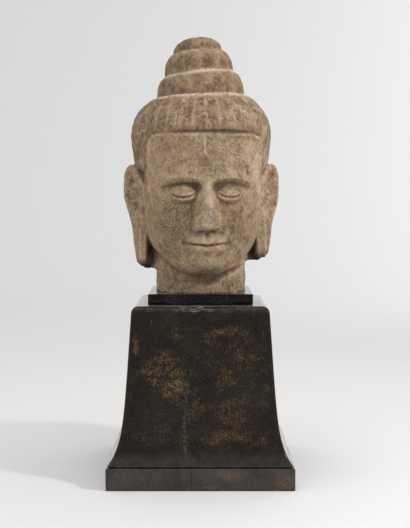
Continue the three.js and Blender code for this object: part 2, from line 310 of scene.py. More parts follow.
base_slab = eased_board("base_slab_board", slab_low, slab_high, slab_easing, slab_grid)
bpy.ops.object.mode_set(mode="EDIT")
slice_piece(0, [slab_crack_x + crack_half_width * k for k in (-1, 0, 1)])
slice_piece(2, np.arange(slab_low.z + slab_grid, slab_high.z - slab_grid / 2, slab_grid))
bpy.ops.object.mode_set(mode="OBJECT")
slab_edge = dent_edges(base_slab, slab_low, slab_high, reach=4 * mm, depth=1.2 * mm, seed=3)
open_crack(base_slab, slab_crack_x, lambda z: 0.3 * mm * np.sin(z / (6 * mm)), lambda z: slab_crack_depth)
slab_places = points_of(base_slab)
scuffed_front = [(38, 20, 14, 7, 0.75), (113, 12, 14, 10, 0.8), (20, 5, 20, 4, 0.5)]
slab_scuffs = rub_patches(slab_places, scuffed_front)
on_front = slab_places[:, 1] < slab_low.y + slab_easing
slab_wear = 0.6 * ramp(mottle(slab_places, 45 * mm, 11), 0.3, 0.8)
mark_points(base_slab, "rubbed", np.where(on_front, slab_scuffs, slab_wear))
mark_points(base_slab, "golden", np.where(on_front, 0.6, 0.2))
mark_points(base_slab, "edge", 0.6 * slab_edge)
mark_points(base_slab, "scraped", 0.35 * ramp(mottle(slab_places, 30 * mm, 12), 0.2, 0.7))
work_on(base_slab)
bpy.ops.object.shade_smooth_by_angle(angle=smooth_below)
base_slab.data.materials.append(black_paint("slab_black_paint", slab_coat, slab_shine))
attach(base_slab, "root")
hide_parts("base_slab")


# Pedestal body
# A tall square block of wood that leans in towards its rounded shoulder and sweeps out at its foot.
# It stands on the slab, painted black, and the paint is rubbed through in patches and cracked upright.
body_low, body_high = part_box("pedestal_body")
body_taper = 0.066
flare_reach = 18.4 * mm
flare_rise = 23 * mm
shoulder_radius = 9 * mm
corner_radius = 2.5 * mm
foot_easing = 2 * mm
body_columns = 84
body_rows = 96
shoulder_rows = 8
body_foot_half = body_high.x
shoulder = body_high.z - shoulder_radius
body_crack_x = -19 * mm
body_crack_top = 160 * mm
body_crack_depth = 0.35 * mm
body_coat = (0.0060, 0.0056, 0.0050)
body_shine = 0.09


def body_half(height):
    """Half the body's width at a height."""
    lean = body_taper * (body_low.z + foot_easing - height)
    spread = np.exp((body_low.z - height) / flare_rise) - np.exp(-foot_easing / flare_rise)
    return body_foot_half + lean + flare_reach * spread


def raise_body():
    """Draws the body up from its foot, ring by ring, along its profile."""
    bpy.ops.object.select_all(action="DESELECT")
    bpy.ops.mesh.primitive_plane_add(size=2 * (body_foot_half - foot_easing), location=(0, 0, body_low.z))
    body = bpy.context.object
    body.name = body.data.name = "pedestal_body_block"
    bpy.ops.object.transform_apply(location=True, rotation=True, scale=True)
    bpy.ops.object.mode_set(mode="EDIT")
    bpy.ops.mesh.select_all(action="SELECT")
    bpy.ops.mesh.bevel(offset=corner_radius, segments=3, affect="VERTICES")
    bpy.ops.object.mode_set(mode="OBJECT")
    for edge in body.data.edges:
        ends = [body.data.vertices[i].co for i in edge.vertices]
        edge.select = (ends[0] - ends[1]).length > 10 * corner_radius
    for vertex in body.data.vertices:
        vertex.select = False
    for polygon in body.data.polygons:
        polygon.select = False
    bpy.ops.object.mode_set(mode="EDIT")
    bpy.ops.mesh.select_mode(type="EDGE")
    bpy.ops.mesh.subdivide(number_cuts=body_columns)
    bpy.ops.mesh.select_mode(type="FACE")
    bpy.ops.mesh.select_all(action="SELECT")
    rises = np.linspace(0, 1, body_rows) ** 1.5
    heights = list(body_low.z + foot_easing + (shoulder - body_low.z - foot_easing) * rises)
    halves = list(body_half(np.array(heights)))
    for turn in np.linspace(0, math.pi / 2, shoulder_rows + 1)[1:]:
        heights.append(shoulder + shoulder_radius * math.sin(turn))
        halves.append(body_half(shoulder) - shoulder_radius * (1 - math.cos(turn)))
    last_height = body_low.z
    last_half = body_foot_half - foot_easing
    for height, half in zip(heights, halves):
        bpy.ops.mesh.extrude_region_move(TRANSFORM_OT_translate={"value": (0, 0, height - last_height)})
        share = half / last_half
        bpy.ops.transform.resize(value=(share, share, 1), center_override=(0, 0, height))
        last_height = height
        last_half = half
    bpy.ops.object.mode_set(mode="OBJECT")
    return body


def body_crack_path(height):
    return 2.0 * mm * np.sin(height / (17 * mm)) + 0.8 * mm * np.sin(height / (5.3 * mm) + 1)


def body_crack_opening(height):
    return ramp(height, 33 * mm, 48 * mm) * (1 - ramp(height, body_crack_top - 40 * mm, body_crack_top))


pedestal_body = raise_body()
bpy.ops.object.mode_set(mode="EDIT")
slice_piece(0, [body_crack_x + crack_half_width * k for k in (-1, 0, 1)])
bpy.ops.mesh.select_all(action="SELECT")
bpy.ops.mesh.normals_make_consistent(inside=False)
bpy.ops.object.mode_set(mode="OBJECT")
open_crack(pedestal_body, body_crack_x, body_crack_path, lambda z: body_crack_depth * body_crack_opening(z))
rubbed_front = [
    (-46, 154, 38, 24, 0.62),
    (-34, 127, 20, 19, 0.74),
    (38, 201, 50, 11, 0.6),
    (-34, 197, 18, 6, 0.5),
    (57, 170, 36, 34, 0.46),
    (31, 146, 18, 27, 0.5),
    (33, 69, 52, 14, 0.7),
    (38, 101, 36, 24, 0.55),
    (-4, 108, 18, 28, 0.5),
    (-62, 68, 30, 16, 0.35),
    (78, 64, 15, 10, 0.6),
    (70, 118, 24, 32, 0.48),
]
rubbed_corner = [(-85, 188, 4, 19, 0.9)]
greyed_front = [(-50, 86, 42, 34, 0.08), (60, 115, 30, 40, 0.05)]
golden_front = [
    (-42, 142, 50, 36, 1.0),
    (12, 203, 26, 10, 0.8),
    (-85, 188, 8, 24, 0.8),
    (-62, 68, 34, 20, 0.7),
]
body_places = points_of(pedestal_body)
body_facing = normals_of(pedestal_body)
front = ramp(-body_facing[:, 1], 0.5, 0.8)
broken_up = 0.85 + 0.75 * mottle(body_places * (0.55, 1, 1), 11 * mm, 22, 4)
rubbed = 0.6 * ramp(mottle(body_places, 60 * mm, 21), 0.1, 0.75) * broken_up * (1 - front)
all_over = 0.08 + 0.14 * ramp(mottle(body_places, 45 * mm, 23), -0.2, 0.6)
strayed = body_places.copy()
strayed[:, 0] += 13 * mm * mottle(body_places, 24 * mm, 24)
strayed[:, 2] += 9 * mm * mottle(body_places, 24 * mm, 25)
patches = np.maximum(rub_patches(strayed, rubbed_front), rub_patches(body_places, rubbed_corner))
rubbed = rubbed + np.maximum(patches * broken_up, all_over) * front
crack_line = bell(body_places[:, 0] - body_crack_x - body_crack_path(body_places[:, 2]), 1.6 * mm)
crack_wear = front * crack_line * body_crack_opening(body_places[:, 2])
mark_points(pedestal_body, "rubbed", np.maximum(rubbed, 0.35 * crack_wear))
body_corner = np.abs(body_places[:, :2]).min(axis=1) - body_half(body_places[:, 2])
body_edge = ramp(body_corner, -5 * mm, -1 * mm)
on_shoulder = ramp(body_places[:, 2], shoulder, shoulder + 2 * mm)
mark_points(pedestal_body, "edge", np.maximum(0.7 * body_edge, 0.3 * on_shoulder))
shoulder_scrape = on_shoulder * (0.12 + bell(body_places[:, 0] + 8 * mm, 12 * mm))
greyed = front * rub_patches(strayed, greyed_front)
mark_points(pedestal_body, "scraped", np.maximum.reduce([shoulder_scrape, 0.3 * crack_wear, greyed]))
# The flare's foot is paler grey, partly dusting and partly painted sheen where the flare turns up to the
# light.
foot_dust_and_sheen = 0.09 * (1 - ramp(body_places[:, 2], body_low.z + 8 * mm, body_low.z + 20 * mm))
# The front half of the body's flat top is painted pale grey as a reflection of the bright room.
painted_top_reflection = 0.95 * (body_places[:, 2] > body_high.z - 0.2 * mm) * (body_places[:, 1] < 0)
mark_points(pedestal_body, "dust_and_sheen", np.maximum.reduce([foot_dust_and_sheen, painted_top_reflection, 0.2 * greyed]))
mark_points(pedestal_body, "golden", 0.25 + 0.75 * rub_patches(body_places, golden_front))
work_on(pedestal_body)
bpy.ops.object.shade_smooth_by_angle(angle=smooth_below)
pedestal_body.data.materials.append(black_paint("body_black_paint", body_coat, body_shine))
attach(pedestal_body, "root")
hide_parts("pedestal_body")


# Seat block
# A small square board that lies on the pedestal and carries the neck.
# It is sawn from the same wood and painted the same black, with sharper edges.
seat_low, seat_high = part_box("seat_block")
seat_easing = 0.8 * mm
seat_grid = 5 * mm
seat_coat = (0.0020, 0.0016, 0.0012)
seat_shine = 0.04
seat_block = eased_board("seat_block_board", seat_low, seat_high, seat_easing, seat_grid)
seat_edge = dent_edges(seat_block, seat_low, seat_high, reach=3 * mm, depth=0.7 * mm, seed=5)
seat_wear = mottle(points_of(seat_block), 40 * mm, 31)
mark_points(seat_block, "rubbed", 0.12 * ramp(seat_wear, 0.3, 0.9))
mark_points(seat_block, "edge", 0.2 * seat_edge)
mark_points(seat_block, "scraped", 0.1 * ramp(seat_wear, 0.1, 0.6))
work_on(seat_block)
bpy.ops.object.shade_smooth_by_angle(angle=smooth_below)
seat_block.data.materials.append(black_paint("seat_black_paint", seat_coat, seat_shine))
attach(seat_block, "root")
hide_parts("seat_block")


# Stone head
# One block of fine brown sandstone, carved all round with a hair cap, a ringed topknot and long ears.
# It is broken off at the neck, the finial is lost, and rain and lichen have worn its surface.
head_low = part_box("stone_head")[0]
head_grain = 1.3 * mm
head_triangles = 196000
skin_rounds = 12
ear_rounds = 30
head_turn = math.radians(5)
head_axis = np.array((0, 6 * mm, 0))

# Sizes of the carving in millimetres, on the head's own axis, with heights above the floor.
# A pair of sizes is for the ear on the right of the picture and the one on the left.
neck_foot = head_low.z / mm
hairline = 463.0
chin = 276.0
face_half = 77.0
face_corner = 15.0
face_third = (hairline - chin) / 3
brow = hairline - face_third
nose_base = brow - face_third
mouth = nose_base - face_third / 3
eye = brow - 0.24 * face_third
eye_width = 2 * face_half / 5
ring_feet = (517.0, 549.0, 579.5)
ring_slope_across = 0.09
ring_slope_ahead = 0.045
topknot_lean = -5.0
stump = 587.0
ear_front = 77.0
ear_ahead = 20.0
ear_slant = math.radians(45)
ear_waist = 346.0
ear_widest = 390.0
shell_reaches = (53.0, 45.0)
lobe_reaches = (33.0, 25.0)
ear_tops = (426.0, 424.0)
lobe_ends = (290.0, 279.0)
break_height = 257.0
break_slope = 0.54
crown_plaits = 36
ring_strands = 22


def rough_out():
    """Copies the blocked-out head and turns its flat facets into an even skin."""
    bpy.ops.object.select_all(action="DESELECT")
    head = bpy.data.objects.new("carved_head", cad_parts["stone_head"].data.copy())
    bpy.context.collection.objects.link(head)
    head.data.materials.clear()
    work_on(head)
    bpy.ops.object.mode_set(mode="EDIT")
    bpy.ops.mesh.select_all(action="SELECT")
    bpy.ops.mesh.remove_doubles(threshold=1e-6)
    bpy.ops.object.mode_set(mode="OBJECT")
    apply_modifier(head, "REMESH", mode="VOXEL", voxel_size=head_grain)
    apply_modifier(head, "SMOOTH", factor=0.5, iterations=skin_rounds)
    return head


turn_back = np.array(((math.cos(head_turn), math.sin(head_turn), 0),
                      (-math.sin(head_turn), math.cos(head_turn), 0),
                      (0, 0, 1)))


def on_head(places):
    """Places in the head's own millimetres: across, back and up."""
    return (places - head_axis) @ turn_back.T / mm


def off_head(places):
    return places * mm @ turn_back + head_axis


def to_line(across, up, points):
    """Distance on the front of the head to a line through points, and how far along it."""
    nearest = np.full(len(across), 1e9)
    along = np.zeros(len(across))
    count = len(points) - 1
    for i, (start, end) in enumerate(zip(points, points[1:])):
        run = np.subtract(end, start)
        share = ((across - start[0]) * run[0] + (up - start[1]) * run[1]) / (run @ run)
        share = np.clip(share, 0, 1)
        off = np.hypot(across - start[0] - share * run[0], up - start[1] - share * run[1])
        along = np.where(off < nearest, (i + share) / count, along)
        nearest = np.minimum(nearest, off)
    return nearest, along


def from_hair_edge(across, up):
    """Distance outwards from the edge of the bare face, negative on the face."""
    beside = np.maximum(np.abs(across) - face_half + face_corner, 0)
    above = np.maximum(up - hairline + face_corner, 0)
    inner = np.maximum(np.abs(across) - face_half, up - hairline)
    corner = np.hypot(beside, above) - face_corner
    return np.where((beside > 0) & (above > 0), corner, inner)


def lid_edge(side):
    """Height of the lowered lid's edge, which hangs in a shallow bow across the eye."""
    return eye - 1 - 5.0 * (1 - ((side - eye_width) / (0.52 * eye_width)) ** 2)


def brow_line(side):
    return brow + 5 - 7 * ((side - 1.05 * eye_width) / (0.95 * eye_width)) ** 2


def carve_eyes(side, up):
    """Brow arches, sockets and lowered lids, as heights forward of the rough face."""
    reach = (side - eye_width) / (0.54 * eye_width)
    within = np.clip(1 - reach ** 2, 0, 1)
    arch = brow_line(side)
    brow_span = ramp(side, 3, 12) * (1 - ramp(side, 1.75 * eye_width, 2.1 * eye_width))
    forward = 2.2 * bell(up - arch, 2.0) * brow_span
    forward -= 3.4 * bell(up - arch + 8, 3.8) * brow_span
    inner_corner = bell(side - 0.42 * eye_width, 6.0) * bell(up - eye - 4, 9)
    forward -= 5.0 * inner_corner
    ball = np.clip(1 - ((side - eye_width) / 17.5) ** 2 - ((up - eye + 0.5) / 11.5) ** 2, 0, 1)
    forward += 4.4 * np.sqrt(ball)
    edge = lid_edge(side)
    line = np.sqrt(within)
    forward -= 2.7 * bell(up - edge, 1.0) * line
    forward += 0.9 * bell(up - edge - 2.4, 1.3) * line
    forward += 1.5 * bell(up - edge + 3.6, 1.8) * line
    forward -= 1.2 * bell(up - edge + 8.2, 2.4) * line
    crease = eye + 8.0 - 4.5 * reach ** 2
    forward -= 1.3 * bell(up - crease, 1.0) * line
    return forward


def carve_nose(across, side, up):
    """A straight nose with its wings, furrows and openings."""
    down = np.clip((brow - up) / face_third, 0, 1)
    on_nose = ramp(up, nose_base - 2, nose_base + 4) * (1 - ramp(up, brow - 12, brow + 10))
    ridge = (1.5 + 5.0 * down) * bell(across, 5.0 + 2.0 * down)
    forward = ridge * on_nose
    wing = bell(side - 0.42 * eye_width, 4.2) * bell(up - nose_base - 8, 5.5)
    forward += 4.2 * wing
    furrow = bell(side - 0.64 * eye_width, 2.2) * bell(up - nose_base - 9, 8)
    forward -= 3.2 * furrow
    opening = bell(side - 0.23 * eye_width, 3.0) * bell(up - nose_base + 0.5, 2.4)
    forward -= 5.0 * opening
    return forward


def break_nose(local, places):
    """How far the nose's tip is cut back, where it is broken off to a rough face."""
    across, back, up = local.T
    at_tip = ramp(up, nose_base - 4, nose_base + 2) * (1 - ramp(up, nose_base + 24, nose_base + 34))
    rough_face = 107.5 + 0.12 * (up - nose_base) + 1.1 * mottle(places, 7 * mm, 47, 3)
    return at_tip * (np.abs(across) < 20) * np.maximum(-back - rough_face, 0)


def carve_mouth(across, side, up):
    """Closed lips with a faint upward turn at the corners, the groove above them and the chin."""
    half = 0.86 * eye_width
    line = mouth + 2.6 * (side / half) ** 2 - 0.9 * bell(across, 4.5)
    span = 1 - ramp(side, half - 4, half + 2)
    forward = -3.6 * bell(up - line, 1.1) * span
    bow = 8.8 - 3.8 * (side / half) ** 2 - 1.5 * bell(across, 3.2) + 0.8 * bell(side - 5, 3)
    forward += 2.8 * bell(up - line - 0.5 * bow, 0.34 * bow + 0.6) * span
    forward += 0.9 * bell(up - line - bow, 0.8) * span
    full = 1 - ramp(side, 0.55 * half, 0.98 * half)
    forward += 3.6 * bell(up - line + 5.6, 3.2) * full
    forward -= 2.2 * bell(up - line + 12, 2.8) * full
    forward -= 2.8 * bell(side - half - 2.5, 3.0) * bell(up - mouth - 2.5, 4)
    gutter = ramp(up, mouth + 8, mouth + 11) * (1 - ramp(up, nose_base - 5, nose_base - 1))
    forward += gutter * (1.0 * bell(side - 4.6, 1.6) - 1.8 * bell(across, 2.6))
    forward += 3.0 * bell(across, 15) * bell(up - chin - 15, 9)
    return forward


def carve_hair(across, back, up):
    """Worn plaits that run down from the topknot, and the groove and ridge along the edge of the cap."""
    turn = np.arctan2(across, -back)
    edge = from_hair_edge(across, up)
    on_cap = np.maximum(ramp(edge, 2, 6) * ramp(up, 400, 420), ramp(back, -5, 25) * ramp(up, 345, 375))
    on_cap = on_cap * (1 - ramp(up, ring_feet[0] - 3, ring_feet[0]))
    wander = 0.25 * np.sin(up / 9) + 0.15 * np.sin(up / 3.7 + 2)
    plait = np.abs(((turn * crown_plaits / (2 * math.pi) + 0.06 * wander + 0.5) % 1) - 0.5)
    parting = bell(plait, 0.07)
    strand = np.sin(up / 1.9 + 9 * plait)
    worn = mottle(np.column_stack((across, back, up)), 14.0, 50, 2)
    at_edge = ramp(-back, 10, 40) * ramp(up, 378, 400)
    ridge = at_edge * bell(edge + 1.8, 1.3) * np.clip(0.6 + 0.9 * worn, 0, 1)
    groove = (0.8 + 0.7 * worn) * bell(edge - 1.2, 1.2)
    groove += (2.8 * bell(across - 22, 26) + 1.2 * bell(across + 28, 20)) * bell(edge - 2.8, 2.2)
    outwards = on_cap * (-0.40 * parting + 0.12 * strand)
    outwards += 0.7 * ridge - at_edge * groove
    return outwards, on_cap * parting, ridge, at_edge * groove


def ring_level(across, back, up):
    """Height on the topknot, whose rings rise a little towards the front and one side."""
    slope = ring_slope_across * (across - topknot_lean) - ring_slope_ahead * back
    return up - slope * ramp(up, 490, 550)


def carve_rings(across, back, up):
    """Sharp steps between the topknot's rings, worn upright strands, and the ledge on top of each step."""
    level = ring_level(across, back, up)
    turn = np.arctan2(across - topknot_lean, -back)
    outwards = np.zeros(len(up))
    ledge = np.zeros(len(up))
    for foot, paleness in zip(ring_feet, (1.0, 0.85, 0.4)):
        outwards -= 0.5 * bell(level - foot - 0.5, 1.0)
        ledge = np.maximum(ledge, paleness * bell(level - foot + 1.9, 2.5))
    on_rings = ramp(level, ring_feet[0] + 2, ring_feet[0] + 5)
    strands = np.abs(((turn * ring_strands / (2 * math.pi) + 0.05 * np.sin(up / 5)) % 1) - 0.5)
    outwards -= 0.35 * on_rings * bell(strands, 0.08)
    return outwards, ledge


def ear_places(across, back):
    """Distance out along the slanted ear from its front edge, and height above its carved face."""
    out = np.abs(across) - ear_front
    behind = back + ear_ahead
    along = out * math.cos(ear_slant) + behind * math.sin(ear_slant)
    above = out * math.sin(ear_slant) - behind * math.cos(ear_slant)
    return along, above


def ear_sizes(across):
    """How far the shell and the lobe reach out, the ear's top and the lobe's broken end, on either side."""
    pairs = (shell_reaches, lobe_reaches, ear_tops, lobe_ends)
    return [np.where(across > 0, one, other) for one, other in pairs]


def ear_fold(along, up):
    """The slanting fold inside the shell, which runs into the ear's front edge."""
    off, _ = to_line(along, up, ((22, 416), (12, 405), (3, 393), (1, 372)))
    return bell(off, 2.2)


def carve_ears(across, back, up, places):
    """The worn rim, the pitted hollow and the slanting fold of each ear, and the ridges down its lobe."""
    along, above = ear_places(across, back)
    reach, lobe_reach, top, low = ear_sizes(across)
    face = bell(above, 6.0) * ramp(along, -6, 0) * ramp(up, low + 2, low + 10)
    shell_share = ramp(up, ear_waist - 10, ear_widest - 6)
    free_edge = lobe_reach + 3 + (reach - lobe_reach - 3) * shell_share - 8 * ramp(up, top - 18, top)
    on_shell = ramp(up, ear_waist - 8, ear_waist + 10)
    rim = bell(along - free_edge + 4.5, 2.3) * on_shell
    top_rim = bell(up - top + 5, 2.6) * ramp(along, 5, 14) * (1 - ramp(along, free_edge - 4, free_edge))
    hollow = np.clip(1 - ((along - 0.58 * reach) / 11) ** 2 - ((up - 386) / 26) ** 2, 0, 1)
    pits = ramp(mottle(places, 4.5 * mm, 49, 2), 0.0, 0.6)
    on_lobe = 1 - ramp(up, ear_waist - 14, ear_waist)
    lobe_dips = 0.8 * bell(along - lobe_reach + 20, 2.6) + 0.6 * bell(along - lobe_reach + 7, 2.2)
    ridges = np.maximum(ear_fold(along, up), on_lobe * bell(along - lobe_reach + 14.5, 1.8))
    outwards = np.maximum(rim, top_rim) - hollow * (0.3 + 1.0 * pits) + 1.5 * ridges - on_lobe * lobe_dips
    joint = bell(along + 3.0, 1.6) * ramp(up, low + 4, low + 14) * (1 - ramp(up, top - 6, top + 2))
    return face * outwards - 1.5 * bell(above, 14) * joint, face * ridges


def moss(local):
    """Where lichen has eaten into the stone: one cheek, and fainter below it."""
    across, back, up = local.T
    cheek = bell(across + 40, 18) * bell(up - 348, 24)
    below = bell(across + 50, 9) * bell(up - 312, 15)
    return np.maximum(cheek, 0.8 * below) * ramp(-back, 20, 50)


def weather(local, places):
    """Loss and wear of the whole stone: lumps, grains, pits, a chip and rough breaks, outwards."""
    across, back, up = local.T
    outwards = 0.55 * mottle(places, 34 * mm, 41, 2)
    outwards += 0.28 * mottle(places, 7 * mm, 42, 2)
    outwards += 0.13 * mottle(places, 2.4 * mm, 43, 2)
    pitted = moss(local) + 0.45
    outwards -= 0.6 * pitted * ramp(mottle(places * (1, 1, 0.6), 3.2 * mm, 44, 2), 0.1, 0.7)
    neck = 1 - ramp(up, 270, 285)
    outwards += neck * 1.7 * mottle(places, 15 * mm, 45, 3)
    broken_top = ramp(up, stump - 3, stump + 3)
    outwards += broken_top * 0.9 * mottle(places, 8 * mm, 46, 3)
    lobe_low = ear_sizes(across)[3]
    lobe_end = (1 - ramp(up, lobe_low + 2, lobe_low + 18)) * ramp(np.abs(across), 66, 74)
    outwards += lobe_end * 1.3 * mottle(places, 7 * mm, 48, 3)
    below, on_break = neck_break(across, back, up)
    outwards += on_break * (1.6 * ramp(below, -1.5, 1.5) - 1.8 * bell(below + 4, 2.6))
    chip_off, _ = to_line(across, up, ((54, 420), (56, 415), (55.5, 411)))
    temple_chip = (bell(chip_off, 1.7) - 0.35 * bell(chip_off - 4.5, 1.4)) * ramp(-back, 20, 40)
    return outwards - 2.4 * temple_chip


def neck_break(across, back, up):
    """Height below the slanting edge of the break on one side of the neck, and where the break lies."""
    edge = break_height + break_slope * across + 1.2 * np.sin(across / 4) + 0.8 * np.sin(across / 1.7)
    on_front = ramp(-back, 10, 25) * ramp(across, -4, 6) * (1 - ramp(up, 284, 290))
    return edge - up, on_front


cracks = [
    ((-2, 503), (0.5, 490), (3, 480), (6.5, 471), (8, 464)),
    ((38, 502), (36, 490), (40, 480), (37, 468)),
    ((-40, 496), (-38, 482), (-41, 472)),
    ((2, 460), (-2, 444), (3, 432)),
]


def carve_cracks(across, back, up):
    """Fine wandering cracks down the front of the hair and over the forehead."""
    opened = np.zeros(len(up))
    for path in cracks:
        off, along = to_line(across + 0.9 * np.sin(up / 2.3), up, path)
        taper = np.sin(math.pi * np.clip(along, 0.03, 0.97)) ** 0.5
        opened = np.maximum(opened, bell(off, 0.9) * ramp(-back, 5, 30) * taper)
    return opened


carved_head = rough_out()
across, back, up = on_head(points_of(carved_head)).T
along, above = ear_places(across, back)
on_ears = (along > -3) & (np.abs(above) < 6) & (up > ear_waist - 12) & (up < ear_widest + 34)
carved_head.vertex_groups.new(name="ears").add(np.flatnonzero(on_ears).tolist(), 1.0, "REPLACE")
apply_modifier(carved_head, "SMOOTH", factor=0.5, iterations=ear_rounds, vertex_group="ears")
rough = points_of(carved_head)
rough_normals = normals_of(carved_head)
local = on_head(rough)
local_normals = rough_normals @ turn_back.T
facing = ramp(-local_normals[:, 1], 0.15, 0.55) * ramp(-from_hair_edge(local[:, 0], local[:, 2]), -1, 2)
facing = facing * ramp(local[:, 2], chin - 14, chin - 4) * (local[:, 1] < -20)
across, back, up = local.T
forward = carve_eyes(np.abs(across), up)
forward += carve_nose(across, np.abs(across), up)
forward += carve_mouth(across, np.abs(across), up)
carved = local.copy()
carved[:, 1] -= forward * facing
carved[:, 1] += break_nose(carved, rough)
outwards = carve_hair(across, back, up)[0]
outwards += carve_rings(across, back, up)[0]
outwards += carve_ears(across, back, up, rough)[0]
outwards -= 1.1 * carve_cracks(across, back, up)
outwards += weather(local, rough)
carved += local_normals * outwards[:, None]
foot_drop = (3.2 + 1.2 * mottle(rough, 6 * mm, 40, 2)) * (1 - ramp(up, neck_foot + 2, neck_foot + 9))
carved[:, 2] = np.maximum(carved[:, 2] - foot_drop, neck_foot)
move_points(carved_head, off_head(carved))
face_count = sum(len(p.vertices) - 2 for p in carved_head.data.polygons)
apply_modifier(carved_head, "DECIMATE", ratio=head_triangles / face_count)


def hollows_of(piece, rounds):
    """How far each point lies sunk among its neighbours, in millimetres, or stands out, below zero."""
    ends = np.empty(len(piece.data.edges) * 2, int)
    piece.data.edges.foreach_get("vertices", ends)
    one, other = ends.reshape(-1, 2).T
    places = points_of(piece)
    count = np.bincount(one, minlength=len(places)) + np.bincount(other, minlength=len(places))

    def spread(values):
        total = np.bincount(one, values[other], len(places)) + np.bincount(other, values[one], len(places))
        return total / count

    evened = places.T
    for _ in range(rounds):
        evened = [spread(values) for values in evened]
    sunk = ((np.stack(evened, axis=1) - places) * normals_of(piece)).sum(axis=1) / mm
    for _ in range(2):
        sunk = 0.5 * sunk + 0.5 * spread(sunk)
    return sunk


# Linear colours of the stone, in rusty and olive pairs, of what has settled on it, and of painted highlight
# and shade
light_stone = ((0.497, 0.350, 0.226, 1), (0.472, 0.360, 0.228, 1))
dark_stone = ((0.165, 0.102, 0.057, 1), (0.147, 0.104, 0.055, 1))
warm_stone = (0.490, 0.318, 0.200, 1)
olive_stone = (0.185, 0.152, 0.082, 1)
bare_stone = (0.480, 0.385, 0.300, 1)
proud_stone = (0.520, 0.405, 0.285, 1)
stain_shade = (0.60, 0.59, 0.53, 1)
age_shade = (0.62, 0.60, 0.56, 1)
score_tan = (0.50, 0.40, 0.28, 1)
fleck_tan = (0.56, 0.46, 0.34, 1)
vein_tan = (0.58, 0.47, 0.345, 1)
crust_and_highlight_tan = (0.65, 0.545, 0.430, 1)
pock_brown = (0.070, 0.048, 0.028, 1)
grime_and_shade_brown = (0.050, 0.035, 0.022, 1)
lobe_dark_and_shade_black = (0.030, 0.021, 0.014, 1)
lichen_dark = (0.046, 0.038, 0.020, 1)
lichen_light = (0.345, 0.290, 0.165, 1)
vein_mesh = (130, 130, 95)


